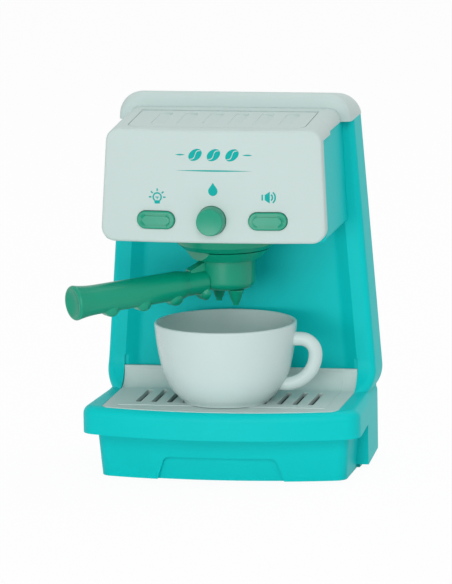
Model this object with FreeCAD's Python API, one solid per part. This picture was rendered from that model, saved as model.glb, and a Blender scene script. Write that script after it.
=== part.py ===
import FreeCAD, Part
import math
import os
from FreeCAD import Vector

os.makedirs("parts", exist_ok=True)

# Toy coffee maker, millimetres. X is width, the front faces -Y, Z is up and the floor is Z = 0.
# The origin is on the floor under the middle of the base.

# Housing
wall = 2.2                # moulded wall
slip = 0.2                # gap round parts that drop or press together
runs = 0.08               # radial gap round pins and shafts that turn
body_front = -54.0        # rim of the base, at its middle
body_rear = 54.0
rim_half = 76.3           # half width of the rim at the front
rim_half_rear = 71.0
rim_bow = 212.7           # plan radius of the bowed rim
rim_low = 24.4
rim_corner = 10.0
rim_round = 5.0           # rounding along the rim's top edge
deck_top = 39.5           # tray surface
skirt_half = 69.0         # front skirt under the rim, at its top
skirt_draft = 2.0         # how much narrower the skirt is at the floor
skirt_front = -43.5
skirt_bow = 244.0
skirt_corner = 7.0
block_half = rim_half_rear   # side blocks behind the skirt, flush with the rim
block_front = 1.0
block_low = 2.3
notch_half = 35.0         # recess in the front of the skirt
notch_top_half = 30.4
notch_high = 12.7
notch_deep = 2.2
notch_corner = 4.5

# Column and head
column_front = 24.0
column_top = 187.5
side_half = 74.3          # half width of the column at side_from
side_from = 50.0
side_lean = 0.075         # how much the sides close in per millimetre of height
side_foot = rim_half_rear    # half width where the column meets the base
ankle = deck_top - 1         # the column's sides run straight down from here
foot_inset = 0.2             # how far that straight foot stands back
side_corner = 7.0
front_corner = 3.5        # rounding along the column's front edges
cheek = 9.6               # strip beside the recess
recess_deep = 4.5
recess_side = 7.0
recess_round = 8.0        # hollow rounding along the recess
foot_sweep = 16.0         # concave foot of the cheeks
head_front = -46.0
head_low = 131.5
head_half = 60.3          # at head_low
head_half_top = 57.8      # at head_top
head_top = column_top
seam_step_y = -17.5       # the cover's lower edge steps up behind this
seam_step = 2.0

# Rear cover
cover_low = 10.0
cover_high = column_top - 11.5
cover_half = side_half - 12.0
cover_half_top = 55.0     # at cover_high
rear_screw_in = 5.8       # from the cover's edge to its screws

# White cover: front panel, deck and arch in one moulding
panel_y = -53.0           # middle of the panel at button height
panel_lean = 5.4          # degrees
panel_bow = 422.0         # plan radius
panel_half = 61.3         # at head_low
panel_half_top = 58.2      # at crease_z
panel_corner = 7.5
panel_wall = 2.4
panel_return = 6.0        # depth of the panel's sides
panel_edge = 1.8          # rounding round the panel's face
cover_corner = 7.0        # rounding along the cover's upper side edges
crease_y = -48.5
crease_z = head_top + 4.0
deck_rise = 3.0           # degrees, up towards the arch
arch_front = 16.0
arch_high = column_top + 15.8
arch_drop = 5.6           # how much lower the arch is at the rear
arch_corner = 13.0

# Buttons
button_z = 143.7
button_x = 30.3
oval_long = 20.7
oval_high = 9.4
oval_out = 1.6            # how far an oval button stands out of the panel
oval_raise = 0.9          # raised middle of an oval button
oval_travel = 1.5
round_r = 7.75
round_face_r = 7.1
round_out = 7.0
round_travel = 3.5
button_gap = 0.25

# Water path
outlet_y = -11.4          # axis of valve, collar and portafilter
tank_half = 46.0
tank_front = -41.0
tank_rear = 9.8
tank_low = 154.0
tank_wall = 1.8
tank_corner = 5.0
bore_r = 4.05
port_r = 1.6
block_w = 16.0
valve_front = -25.0
valve_rear = 2.0
valve_low = 135.7
valve_high = 151.7
nozzle_r = 3.5
nozzle_low = 128.6

# Valve spool, seals and spring
seal_wire_r = 0.83
seal_r = bore_r - seal_wire_r - 0.02
seal_places = [outlet_y - 10.2, outlet_y + 3.6]
seal_sides = 8
stem_r = 2.2
button_head = 1.6         # thickness of the round button's base
flange_out = 1.3          # how far that base passes the button
spring_front = -46.2
spring_wire_r = 0.5
spring_r = 4.4
spring_turns = 5
spring_sides = 6

# Tank lid
lid_half = 48.0
lid_front = -39.5
lid_thick = 2.0
lid_corner = 7.0
lid_gap = 0.45            # seam round the lid
lid_rest = 2.5            # ledge that the lid lies on
lid_frame = 4.0           # frame round the lid, under the deck
pivot_y = 3.6
pivot_r = 2.9             # rolled rear edge of the lid
pin_r = 1.5
pin_out = 2.6
ear_half = 3.4            # ears of the cover that hold the lid's pins
louvre_count = 6
louvre_pitch = 13.9
louvre_w = 7.0
louvre_front = -30.5
louvre_rear = -1.5
louvre_deep = 1.5
louvre_shift = 1.5
louvre_corner = 2.4

# Collar and portafilter
collar_r = 28.0
collar_low = 122.6
lip_r = 13.2              # mouth of the collar
cavity_r = 16.2
lug_r = 15.6
lug_angle = 51.6          # degrees about +Z from the collar's slots, as photographed
ring_top = 122.2
ring_low = 117.0
ring_r = 22.8
ring_r_low = 19.8
ring_edge = 1.6           # rounding under the ring
ring_flat = 18.4
basket_r = 15.35
basket_low = 100.7
basket_corner = 4.5
basket_wall = 2.0
spout_out = 9.1
spout_r = 4.4
spout_tip_r = 1.7
spout_low = 92.3
spout_tip = 1.8           # straight stretch at a spout's end
handle_angle = 220.5      # degrees about +Z, as photographed
handle_z = 105.5          # where the handle leaves the basket
handle_droop = 3.0        # degrees
handle_long = 95.0
neck_r = 6.7
grip_r = 7.8
flare_r = 9.3
bump_count = 4
bump_pitch = 19.6
bump_first = 73.0
bump_r = 4.4
bump_out = 2.5
dish_deep = 2.4           # hollow in the handle's end
bump_half = 2.2
wedge_half = 3.0          # small web between ring and handle
wedge_out = 23.5
wedge_high = 11.0

# Tray, basin and cup
tray_half = 64.5
tray_inset = 3.3
tray_thick = 2.0
tray_corner = 5.0
tray_sweep = 10.0
tray_back = 22.9          # front face of the upright back edge
tray_high = 50.5
tray_travel = 5.0
slot_count = 12
slot_pitch = 8.6
slot_w = 3.0
slot_front = -26.7
slot_rear = 8.6
pad_half = 56.7           # raised field round the slots
pad_front = -34.7
pad_up = 0.3
basin_half = 51.5
basin_front = -36.0
basin_rear = 11.0
basin_low = 26.5
basin_wall = 1.5
basin_corner = 4.0
cup_y = -18.0
cup_high = 43.6
cup_foot_r = 23.0
cup_rim_r = 38.4
cup_wall = 2.0
cup_handle_out = 49.0     # centre line of the cup's handle at its widest
cup_handle_r = 3.7
cup_handle_top = 34.6     # height of its upper run over the cup's foot
cup_handle_bend = 8.0     # radius of its upper bend
cup_handle_end_x = 29.5   # where its lower end meets the bowl
cup_handle_end_z = 10.0
cup_handle_root = 4.0     # how far that end runs on into the bowl's wall

# Base, batteries and electronics
plate_thick = 2.2
cell_r = 7.2
cell_long = 49.5
cell_y = 12.0
cell_gap = 0.4            # half the gap between the cells
bay_long = cell_long + 5.5
bay_wall = 1.6
door_lap = 2.2            # how far the battery door passes the bay
bay_half_y = 2 * cell_r + 2 * cell_gap
cell_z = plate_thick + cell_r + 0.5
door_half_x = bay_long / 2 + door_lap
door_half_y = bay_half_y + door_lap
door_thick = plate_thick - 0.6
door_tab = 9.0            # length of the door's screw tab
door_tab_half = 6.0
door_screw_y = cell_y - door_half_y - 4.0
board_y = -38.5
board_thick = 1.6
board_half = 50.0
board_low = 136.0
board_high = 151.5
board_screw_x = 46.0
board_screw_z = board_low + 7.5
post_r = 3.0
led_x = -17.0
led_r = 2.5
speaker_z = 92.0
speaker_r = 18.0
sound_slots = 5           # slots in the rear cover over the speaker
sound_pitch = 5.0
screw_r = 1.3
screw_head_r = 2.6
screw_head = 1.1          # thickness of a screw's head
screw_sunk = 0.1          # how far a head lies below the face
thread_room = 0.12
boss_r = 3.4
foot_r = 5.0
foot_thick = 1.0

floor_under = -1.0        # cutting tools start this far below the floor
beyond = 90.0             # and reach this far past the object's sides
above = arch_high + 10    # or this high


def box(x0, x1, y0, y1, z0, z1):
    return Part.makeBox(x1 - x0, y1 - y0, z1 - z0, Vector(x0, y0, z0))


def rod(r, start, direction, length):
    return Part.makeCylinder(r, length, Vector(*start), Vector(*direction))


def cone(r0, r1, start, direction, length):
    return Part.makeCone(r0, r1, length, Vector(*start), Vector(*direction))


def face_of(edges):
    return Part.Face(Part.Wire(edges))


def lines(points):
    closed = [Vector(*p) for p in points]
    return [Part.LineSegment(a, b).toShape() for a, b in zip(closed, closed[1:] + closed[:1])]


def arc(a, b, c):
    return Part.Arc(Vector(*a), Vector(*b), Vector(*c)).toShape()


def line(a, b):
    return Part.LineSegment(Vector(*a), Vector(*b)).toShape()


def front_prism(points, y0, y1):
    # A closed outline of (x, z) points, run from y0 to y1.
    flat = face_of(lines([(x, y0, z) for x, z in points]))
    return flat.extrude(Vector(0, y1 - y0, 0))


def mirror_points(points):
    return points + [(-x, z) for x, z in reversed(points)]


def fuse(first, *others):
    return first.fuse(list(others)).removeSplitter() if others else first


def upright(edge):
    return abs(edge.tangentAt(edge.FirstParameter).z) > 0.9


def round_edges(shape, radius, wanted):
    chosen = [e for e in shape.Edges if wanted(e)]
    return shape.makeFillet(radius, chosen) if chosen else shape


def capsule(long, high, y0, y1, x, z):
    # A lying oval with round ends.
    r = high / 2
    half = long / 2 - r
    edges = [
        line((x - half, y0, z - r), (x + half, y0, z - r)),
        arc((x + half, y0, z - r), (x + half + r, y0, z), (x + half, y0, z + r)),
        line((x + half, y0, z + r), (x - half, y0, z + r)),
        arc((x - half, y0, z + r), (x - half - r, y0, z), (x - half, y0, z - r)),
    ]
    return face_of(edges).extrude(Vector(0, y1 - y0, 0))


def turned(points, y):
    # A closed outline of (radius, z) points, turned about the upright line through (0, y).
    flat = face_of(lines([(r, y, z) for r, z in points]))
    return flat.revolve(Vector(0, y, 0), Vector(0, 0, 1), 360)


def save(name, shape):
    solids = shape.Solids
    whole = solids[0] if len(solids) == 1 else Part.makeCompound(solids)
    whole.exportStep("parts/" + name + ".step")
    state = "ok" if shape.isValid() and solids else "BAD"
    print(name, len(solids), "solid", round(shape.Volume, 1), "mm3", state)


# Shared outlines

def bow(x, radius):
    return radius - math.sqrt(radius * radius - x * x)


def side_at(z):
    return side_half - side_lean * (z - side_from)


def bowed_plan(half_front, half_rear, front, rear, radius, z):
    # A plan outline with a bowed front edge at the height z.
    corner_y = front + bow(half_front, radius)
    edges = [
        arc((-half_front, corner_y, z), (0, front, z), (half_front, corner_y, z)),
        line((half_front, corner_y, z), (half_rear, rear, z)),
        line((half_rear, rear, z), (-half_rear, rear, z)),
        line((-half_rear, rear, z), (-half_front, corner_y, z)),
    ]
    return Part.Wire(edges)


def bowed_prism(half_front, half_rear, front, rear, radius, z0, z1, corner):
    wire = bowed_plan(half_front, half_rear, front, rear, radius, z0)
    prism = Part.Face(wire).extrude(Vector(0, 0, z1 - z0))
    if corner <= 0:
        return prism
    return round_edges(prism, corner, lambda e: upright(e) and e.CenterOfMass.y < 0)


def rim(inset, z0, z1):
    return bowed_prism(rim_half - inset, rim_half_rear - inset, body_front + inset, body_rear - inset,
                       rim_bow - inset, z0, z1, rim_corner - inset * 0.8)


def skirt(inset, z0, z1):
    low = skirt_half - skirt_draft - inset
    high = skirt_half - inset
    front = skirt_front + inset
    low_wire = bowed_plan(low, low, front + skirt_draft, block_front + 20, skirt_bow, z0)
    high_wire = bowed_plan(high, high, front, block_front + 20, skirt_bow, z1)
    block = Part.makeLoft([low_wire, high_wire], True, True)
    return round_edges(block, skirt_corner - inset * 0.8, lambda e: upright(e) and e.CenterOfMass.y < 0)


def column(inset, y0, y1, z0, z1):
    # Front view outline: straight leaning sides, then arcs tangent to them that curve in at the foot.
    knee = Vector(side_half - inset, y0, side_from)
    toe = Vector(side_foot - inset, y0, z0)
    top = Vector(side_at(z1) - inset, y0, z1)
    inward = Vector(-1, 0, -side_lean).normalize()
    chord = toe - knee
    radius = chord.dot(chord) / (2 * chord.dot(inward))
    centre = knee + inward * radius
    bend = centre + (knee + toe - centre * 2).normalize() * radius
    left = [(-p.x, p.y, p.z) for p in (knee, top, bend, toe)]
    edges = [
        line(left[3], toe),
        arc(toe, bend, knee),
        line(knee, top),
        line(top, left[1]),
        line(left[1], left[0]),
        arc(left[0], left[2], left[3]),
    ]
    return face_of(edges).extrude(Vector(0, y1 - y0, 0))


def panel_core(out):
    # Everything behind the panel's bowed and leaning face, moved out by the given amount.
    lean = math.radians(panel_lean)
    inward = Vector(0, math.cos(lean), -math.sin(lean))
    along = Vector(0, math.sin(lean), math.cos(lean))
    middle = Vector(0, panel_y, button_z) + inward * panel_bow - along * 110
    return Part.makeCylinder(panel_bow + out, 240, middle, along)


def on_panel_face(edge):
    # True for an edge that lies all along the bowed front face.
    first, last = edge.ParameterRange
    points = [edge.valueAt(first + share * (last - first)) for share in (0.1, 0.5, 0.9)]
    skin = panel_core(0).Faces[0].Surface
    return all(abs(skin.Axis.cross(p - skin.Center).Length - panel_bow) < 0.01 for p in points)


def panel_side(z):
    # Half width of the white panel, and of the deck's sides, at the height z.
    return panel_half + (panel_half_top - panel_half) * (z - head_low) / (crease_z - head_low)


def along_y(edge):
    return abs(edge.tangentAt(edge.FirstParameter).y) > 0.9


def upper_side(edge):
    # True for an edge that runs along a side of the deck.
    middle = edge.CenterOfMass
    return along_y(edge) and middle.z > crease_z - panel_wall - 1 and abs(middle.x) > lid_half


def deck_z(y):
    return crease_z + math.tan(math.radians(deck_rise)) * (y - crease_y)


def below_deck(drop):
    # Everything under the deck's sloping surface, lowered by the given amount.
    y0 = body_front - 20
    y1 = body_rear + 20
    points = [(y0, 100), (y1, 100), (y1, deck_z(y1) - drop), (y0, deck_z(y0) - drop)]
    flat = face_of(lines([(-beyond, y, z) for y, z in points]))
    return flat.extrude(Vector(2 * beyond, 0, 0))


def lid_plan(grow, z0, z1, rear):
    block = box(-lid_half - grow, lid_half + grow, lid_front - grow, rear, z0, z1)
    return round_edges(block, lid_corner + grow, lambda e: upright(e) and e.CenterOfMass.y < lid_front / 2)


def cover_side(z):
    # Half width of the rear cover at the height z.
    share = (z - cover_low) / (cover_high - cover_low)
    return cover_half + (cover_half_top - cover_half) * share


rear_screw_points = [(side * (cover_side(z) - rear_screw_in), z) for z in (cover_low + 18, cover_high - 8)
                     for side in (-1, 1)]
base_screw_points = [(sx * 56.0, y) for y in (-28.0, 42.0) for sx in (-1, 1)]
foot_points = [(sx * 42.0, y) for y in (-24.0, 42.0) for sx in (-1, 1)]


def rear_opening(grow, y0, y1):
    # The rear cover's outline, which follows the column's leaning sides.
    points = [(cover_half + grow, cover_low - grow), (cover_half_top + grow, cover_high + grow)]
    block = front_prism(mirror_points(points), y0, y1)
    return round_edges(block, 6.0, lambda e: abs(e.tangentAt(e.FirstParameter).y) > 0.9)


# Main housing: base, column and head in one moulding

def make_body_shell():
    rim_slab = rim(0, rim_low, deck_top)
    rim_slab = round_edges(rim_slab, side_corner, lambda e: upright(e) and e.CenterOfMass.y > column_front)
    rim_slab = round_edges(rim_slab, rim_round, lambda e: e.BoundBox.ZMin > deck_top - 0.01
                           and e.CenterOfMass.y < column_front - 5)
    back = column(0, column_front, body_rear, ankle, column_top)
    blocks = rim(0, block_low, rim_low + 1)
    blocks = round_edges(blocks, side_corner, lambda e: upright(e) and e.CenterOfMass.y > column_front)
    blocks = blocks.common(box(-beyond, beyond, block_front, body_rear + 1, block_low, rim_low + 1))
    front_skirt = skirt(0, 0, rim_low)
    toe_y = column_front - foot_sweep
    heel_y = column_front + 1
    high = deck_top + foot_sweep
    bend = foot_sweep * (1 - math.sqrt(0.5))
    x = -beyond
    sweep_edges = [
        line((x, heel_y, ankle), (x, heel_y, high)),
        line((x, heel_y, high), (x, column_front, high)),
        arc((x, column_front, high), (x, column_front - bend, deck_top + bend), (x, toe_y, deck_top)),
        line((x, toe_y, deck_top), (x, toe_y, ankle)),
        line((x, toe_y, ankle), (x, heel_y, ankle)),
    ]
    sweep = face_of(sweep_edges).extrude(Vector(2 * beyond, 0, 0))
    sweep = sweep.common(column(0, toe_y, heel_y, ankle, column_top))
    back = fuse(back, sweep)
    back = round_edges(back, front_corner, lambda e: abs(e.CenterOfMass.x) > side_foot - 14
                       and e.BoundBox.YMax < column_front + 0.01 and e.BoundBox.ZMin > deck_top - 0.01
                       and e.Length > 5)
    back = round_edges(back, side_corner, lambda e: e.BoundBox.YMin > body_rear - 0.01
                       and abs(e.CenterOfMass.x) > 10)
    foot_half = side_foot - foot_inset
    foot = box(-foot_half, foot_half, toe_y, body_rear - foot_inset, deck_top - rim_round - 1, ankle + 0.5)
    foot = round_edges(foot, side_corner - foot_inset, lambda e: upright(e) and e.CenterOfMass.y > column_front)
    head_points = mirror_points([(head_half, head_low), (head_half_top, head_top)])
    head = front_prism(head_points, body_front - 5, column_front + 3)
    head = round_edges(head, 3.0, lambda e: e.BoundBox.ZMax < head_low + 0.01 and abs(e.CenterOfMass.x) > 10)
    head = head.common(panel_core(-panel_return))
    step = box(-beyond, beyond, body_front - 5, seam_step_y, head_top - seam_step, head_top + 1)
    shell = fuse(rim_slab, back, foot, blocks, front_skirt, head.cut(step))

    # Recess in the front of the column, with slanted sides
    low = deck_top - 4
    front_y = column_front - foot_sweep - 1
    cut_half = [(side_at(z) - cheek, z) for z in (side_from, head_low)]
    deep_half = [(x - recess_side, z) for x, z in cut_half]
    front_wire = Part.Wire(lines([(x, column_front, z) for x, z in mirror_points(cut_half)]))
    deep_wire = Part.Wire(lines([(x, column_front + recess_deep, z) for x, z in mirror_points(deep_half)]))
    recess = Part.makeLoft([front_wire, deep_wire], True, True)
    recess = round_edges(recess, recess_round, lambda e: e.BoundBox.YMin > column_front + recess_deep - 0.01
                         and e.BoundBox.ZMax - e.BoundBox.ZMin > 50)
    tray_room = box(-tray_half - slip, tray_half + slip, front_y, tray_back + tray_thick + slip, low,
                    tray_high + tray_travel + 0.4)
    shell = shell.cut([recess, tray_room])

    # Pocket for tray and basin flange, and the hole that the basin hangs in
    pocket_low = deck_top - tray_thick - 1.5
    pocket = bowed_prism(tray_half + slip, tray_half + slip, body_front + tray_inset - slip, tray_back,
                         rim_bow - tray_inset, pocket_low, deck_top + 1, tray_corner)
    hole_x = basin_half + slip
    basin_hole = box(-hole_x, hole_x, basin_front - slip, basin_rear + slip, rim_low - 4, deck_top)
    shell = shell.cut([pocket, basin_hole])

    # Hollow inside
    deck_under = pocket_low - wall
    rim_room = rim(wall + 1.5, rim_low + wall, deck_under)
    skirt_room = skirt(wall + notch_deep, floor_under, rim_low + wall + 1)
    rear_wall = 4.0
    block_room = box(-block_half + wall, block_half - wall, block_front + wall, body_rear - rear_wall,
                     floor_under, deck_under)
    inner_y = column_front + recess_deep + wall
    foot_x = block_half - wall - 2
    column_points = [(foot_x, floor_under), (foot_x, deck_under), (side_at(side_from) - wall - 3, side_from),
                     (side_at(column_top) - wall - 1.5, column_top + 1)]
    column_room = front_prism(mirror_points(column_points), inner_y, body_rear - rear_wall)
    head_points = mirror_points([(head_half - wall, head_low + wall), (head_half_top - wall, head_top + 1)])
    head_room = front_prism(head_points, body_front - 5, inner_y + 1)
    shell = shell.cut([rim_room, skirt_room, block_room, column_room, head_room])

    # Rear opening with a seat for the rear cover
    shell = shell.cut([rear_opening(-3.5, body_rear - rear_wall - 1, body_rear + 1),
                       rear_opening(slip, body_rear - wall, body_rear + 1)])

    # Front recess of the skirt
    notch_points = mirror_points([(notch_half, floor_under), (notch_top_half, notch_high)])
    notch = front_prism(notch_points, body_front - 5, skirt_front + 12)
    notch = round_edges(notch, notch_corner, lambda e: e.BoundBox.ZMin > notch_high - 0.01
                        and e.BoundBox.XMax - e.BoundBox.XMin < 1)
    notch = notch.cut(skirt(notch_deep, 0, rim_low))
    shell = shell.cut(notch)

    # Hole for the valve outlet, and screw bosses
    shell = shell.cut(rod(nozzle_r + slip, (0, outlet_y, head_low - 1), (0, 0, 1), wall + 2))
    bosses = [rod(boss_r, (x, y, plate_thick), (0, 0, 1), deck_under + 0.5 - plate_thick)
              for x, y in base_screw_points]
    pegs = [rod(boss_r, (x, body_rear - rear_wall + 0.5, z), (0, -1, 0), 9.0) for x, z in rear_screw_points]
    shell = fuse(shell, *bosses, *pegs)
    holes = [rod(screw_r + thread_room, (x, y, 0), (0, 0, 1), 14) for x, y in base_screw_points]
    holes += [rod(screw_r + thread_room, (x, body_rear, z), (0, -1, 0), 14) for x, z in rear_screw_points]
    return shell.cut(holes)


# White cover over the head: panel, deck and arch

def arch_block(inset, low):
    # The raised arch, whose top falls towards the rear.
    rear_high = arch_high - arch_drop
    front_y = arch_front + inset
    rear_y = body_rear - inset
    points = mirror_points([(side_at(low) - inset, low), (side_at(arch_high) - inset, arch_high + 5)])
    arch = front_prism(points, front_y, rear_y)
    over = [(arch_front, arch_high - inset), (body_rear, rear_high - inset), (body_rear, above)]
    over.append((arch_front, above))
    over = face_of(lines([(-beyond, y, z) for y, z in over]))
    arch = arch.cut(over.extrude(Vector(2 * beyond, 0, 0)))
    top_z = rear_high - inset
    return round_edges(arch, arch_corner - inset, lambda e: along_y(e) and e.CenterOfMass.z > top_z)


def make_head_cover():
    top = crease_z + 20
    front_points = [(panel_side(head_low), head_low), (panel_side(top), top)]
    front = front_prism(mirror_points(front_points), body_front - 5, head_front + 20)
    front = round_edges(front, panel_corner, lambda e: along_y(e) and e.CenterOfMass.z < head_low + 1)
    front = front.cut(panel_core(-panel_return))
    skirt_low = head_top - seam_step
    deck_points = mirror_points([(panel_side(skirt_low), skirt_low), (panel_side(top), top)])
    deck = front_prism(deck_points, body_front - 5, arch_front + 6)
    deck = deck.cut(box(-90, 90, seam_step_y, arch_front + 7, skirt_low - 1, head_top))
    head = fuse(front, deck).common(panel_core(0)).common(below_deck(0))
    head = round_edges(head, cover_corner, upper_side)
    head = round_edges(head, panel_edge, on_panel_face)
    arch = arch_block(0, column_top)
    arch = round_edges(arch, side_corner * 0.6, lambda e: e.BoundBox.YMin > body_rear - 0.01
                       and e.BoundBox.ZMax > column_top + 1)
    arch = round_edges(arch, 4.0, lambda e: e.BoundBox.YMax < arch_front + 0.01
                       and e.BoundBox.ZMax > column_top + 1)
    cover = fuse(head, arch)

    # Hollow inside
    inner_points = [(panel_side(z) - panel_wall, z) for z in (head_low + panel_wall, top)]
    inner = front_prism(mirror_points(inner_points), body_front - 5, head_front + 20)
    room_points = mirror_points([(panel_side(z) - wall - 0.4, z) for z in (skirt_low - 1, top)])
    room = front_prism(room_points, body_front - 5, arch_front + 7)
    under_skin = below_deck(panel_wall).common(panel_core(-panel_wall))
    inner = inner.common(under_skin)
    room = room.common(under_skin)
    inner = round_edges(inner, cover_corner - panel_wall, upper_side)
    room = round_edges(room, cover_corner - panel_wall, upper_side)
    cover = cover.cut([inner, room, arch_block(wall, column_top - 1)])

    # Frame under the lid with its two hinge ears
    frame_rear = pivot_y + pivot_r + lid_frame
    frame = lid_plan(lid_frame, tank_low, above, frame_rear).common(below_deck(panel_wall - 0.2))
    frame = frame.cut(below_deck(panel_wall + 2.0)).common(panel_core(-panel_wall + 0.3))
    ears = []
    for side in (-1, 1):
        x0, x1 = sorted((side * (lid_half + slip), side * (lid_half + pin_out + 1.9)))
        ear = box(x0, x1, pivot_y - ear_half, pivot_y + ear_half, pin_z() - pivot_r, above)
        ears.append(ear.common(below_deck(1.0)))
    cover = fuse(cover, frame, *ears)
    opening_rear = pivot_y + pivot_r + 0.4
    opening = lid_plan(lid_gap, deck_z(lid_front) - panel_wall - 0.1, above, opening_rear)
    opening = opening.cut(below_deck(lid_thick + 0.2))
    through = lid_plan(-lid_rest, tank_low, above, opening_rear)
    room_x = lid_half + lid_gap
    roll_room = box(-room_x, room_x, pivot_y - pivot_r - 1.5, opening_rear, pin_z() - pivot_r - 2, above)
    pin_holes = [rod(pin_r + runs, (side * (lid_half - 1), pivot_y, pin_z()), (side, 0, 0), pin_out + 1.6)
                 for side in (-1, 1)]
    cover = cover.cut([opening, through, roll_room] + pin_holes)

    # Button holes and the posts of the control board
    holes = [capsule(oval_long + 2 * button_gap, oval_high + 2 * button_gap, body_front - 5, head_front,
                     side * button_x, button_z) for side in (-1, 1)]
    holes.append(rod(round_r + button_gap, (0, body_front - 5, button_z), (0, 1, 0), 12))
    cover = cover.cut(holes)
    posts = []
    threads = []
    for side in (-1, 1):
        x = side * board_screw_x
        post = rod(post_r, (x, body_front - 5, board_screw_z), (0, 1, 0), board_y - body_front + 5)
        posts.append(post.common(panel_core(-panel_wall + 0.3)))
        threads.append(rod(screw_r + thread_room, (x, board_y + 1, board_screw_z), (0, -1, 0), 7.5))
    return fuse(cover, *posts).cut(threads)


def pin_z():
    return deck_z(pivot_y) - pivot_r


def make_tank_lid():
    plate = lid_plan(0, tank_low, above, pivot_y).common(below_deck(0)).cut(below_deck(lid_thick))
    roll = rod(pivot_r, (-lid_half, pivot_y, pin_z()), (1, 0, 0), 2 * lid_half)
    pins = rod(pin_r, (-lid_half - pin_out, pivot_y, pin_z()), (1, 0, 0), 2 * (lid_half + pin_out))
    lid = fuse(plate, roll, pins)
    pockets = []
    for i in range(louvre_count):
        x = (i - (louvre_count - 1) / 2) * louvre_pitch + louvre_shift
        tool = box(x - louvre_w / 2, x + louvre_w / 2, louvre_front, louvre_rear, tank_low, above)
        tool = round_edges(tool, louvre_corner, lambda e: upright(e) and e.CenterOfMass.y > louvre_rear - 1)
        low_x = x - louvre_w / 2 - 1
        deep_x = x + louvre_w / 2 + 1
        floor = [(low_x, 0.05), (deep_x, louvre_deep), (deep_x, -9), (low_x, -9)]
        edges = lines([(px, louvre_front - 1, deck_z(louvre_front - 1) - drop) for px, drop in floor])
        run = louvre_rear - louvre_front + 2
        wedge = face_of(edges).extrude(Vector(0, run, run * math.tan(math.radians(deck_rise))))
        pockets.append(tool.common(wedge))
    return lid.cut(pockets)


def make_water_tank():
    lip = panel_wall + 2.0
    outer = box(-tank_half, tank_half, tank_front, tank_rear, tank_low, above)
    outer = round_edges(outer, tank_corner, upright).common(below_deck(lip))
    inner = box(-tank_half + tank_wall, tank_half - tank_wall, tank_front + tank_wall, tank_rear - tank_wall,
                tank_low + tank_wall, above + 1)
    inner = round_edges(inner, tank_corner - tank_wall, upright)
    drain = rod(4.5, (0, outlet_y, valve_high), (0, 0, 1), tank_low - valve_high + 0.5)
    tank = fuse(outer.cut(inner), drain)
    roll = pivot_r + 0.5
    roll_room = box(-lid_half - 1, lid_half + 1, pivot_y - roll, pivot_y + roll, pin_z() - roll, above)
    drain_hole = rod(port_r, (0, outlet_y, valve_high - 1), (0, 0, 1), 10)
    return tank.cut([drain_hole, roll_room])


def make_valve_body():
    block = box(-block_w / 2, block_w / 2, valve_front, valve_rear, valve_low, valve_high)
    block = round_edges(block, 1.5, lambda e: abs(e.tangentAt(e.FirstParameter).y) > 0.9)
    nozzle = rod(nozzle_r, (0, outlet_y, nozzle_low), (0, 0, 1), valve_low - nozzle_low + 0.5)
    foot = rod(6.0, (0, outlet_y, head_low + wall), (0, 0, 1), valve_low - head_low - wall + 0.5)
    body = fuse(block, nozzle, foot)
    bore = rod(bore_r, (0, valve_front - 1, button_z), (0, 1, 0), valve_rear - valve_front - 1)
    port = rod(port_r, (0, outlet_y, nozzle_low - 1), (0, 0, 1), valve_high - nozzle_low + 2)
    return body.cut([bore, port])


def seal_at(y, wire_r):
    # A sealing ring with an eight-sided section, about the bore's axis.
    points = []
    for i in range(seal_sides):
        a = 2 * math.pi * (i + 0.5) / seal_sides
        points.append((seal_r + wire_r * math.cos(a), y + wire_r * math.sin(a), button_z))
    return face_of(lines(points)).revolve(Vector(0, 0, button_z), Vector(0, 1, 0), 360)


def make_seals():
    return [seal_at(y, seal_wire_r) for y in seal_places]


def make_spool():
    land_r = bore_r - runs
    front = valve_front + 0.6
    rear = outlet_y + 6.6
    stem_front = spring_front - button_head
    stem = rod(stem_r, (0, stem_front, button_z), (0, 1, 0), front + 1 - stem_front)
    land = rod(land_r, (0, front, button_z), (0, 1, 0), rear - front)
    waist_rear = outlet_y - port_r - 0.3
    waist_front = waist_rear - 2 * port_r - 0.4
    grooves = [(waist_front, waist_rear, 2.0)]
    grooves += [(y - seal_wire_r, y + seal_wire_r, seal_r - seal_wire_r) for y in seal_places]
    rings = []
    for y0, y1, core_r in grooves:
        ring = rod(land_r + 1, (0, y0, button_z), (0, 1, 0), y1 - y0)
        rings.append(ring.cut(rod(core_r, (0, y0 - 1, button_z), (0, 1, 0), y1 - y0 + 2)))
    return fuse(stem, land).cut(rings)


def make_brew_spring():
    # A coil between the button's base and the valve block.
    room = valve_front - spring_front
    high = room - 2 * spring_wire_r - 0.1
    helix = Part.makeHelix(high / spring_turns, high, spring_r)
    corners = []
    for i in range(spring_sides):
        a = 2 * math.pi * i / spring_sides
        corners.append((spring_r + spring_wire_r * math.cos(a), 0, spring_wire_r * math.sin(a)))
    coil = Part.Wire(helix).makePipeShell([Part.Wire(lines(corners))], True, True)
    coil.rotate(Vector(0, 0, 0), Vector(1, 0, 0), -90)
    coil.translate(Vector(0, spring_front + spring_wire_r + 0.05, button_z))
    return coil


def make_brew_button():
    back = spring_front - button_head
    nose_rear = panel_y - 3.0
    face = panel_y - round_out
    barrel = rod(round_r, (0, nose_rear, button_z), (0, 1, 0), spring_front - nose_rear)
    nose = cone(round_face_r, round_r, (0, face, button_z), (0, 1, 0), nose_rear - face)
    flange = rod(round_r + flange_out, (0, back + 0.2, button_z), (0, 1, 0), button_head - 0.2)
    button = fuse(barrel, nose, flange)
    button = round_edges(button, 0.9, lambda e: e.BoundBox.YMax < face + 0.01)
    dish = Part.makeSphere(60, Vector(0, face + 0.5 - 60, button_z))
    stem_seat = rod(stem_r, (0, back, button_z), (0, 1, 0), 3)
    return button.cut([dish, stem_seat])


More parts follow.
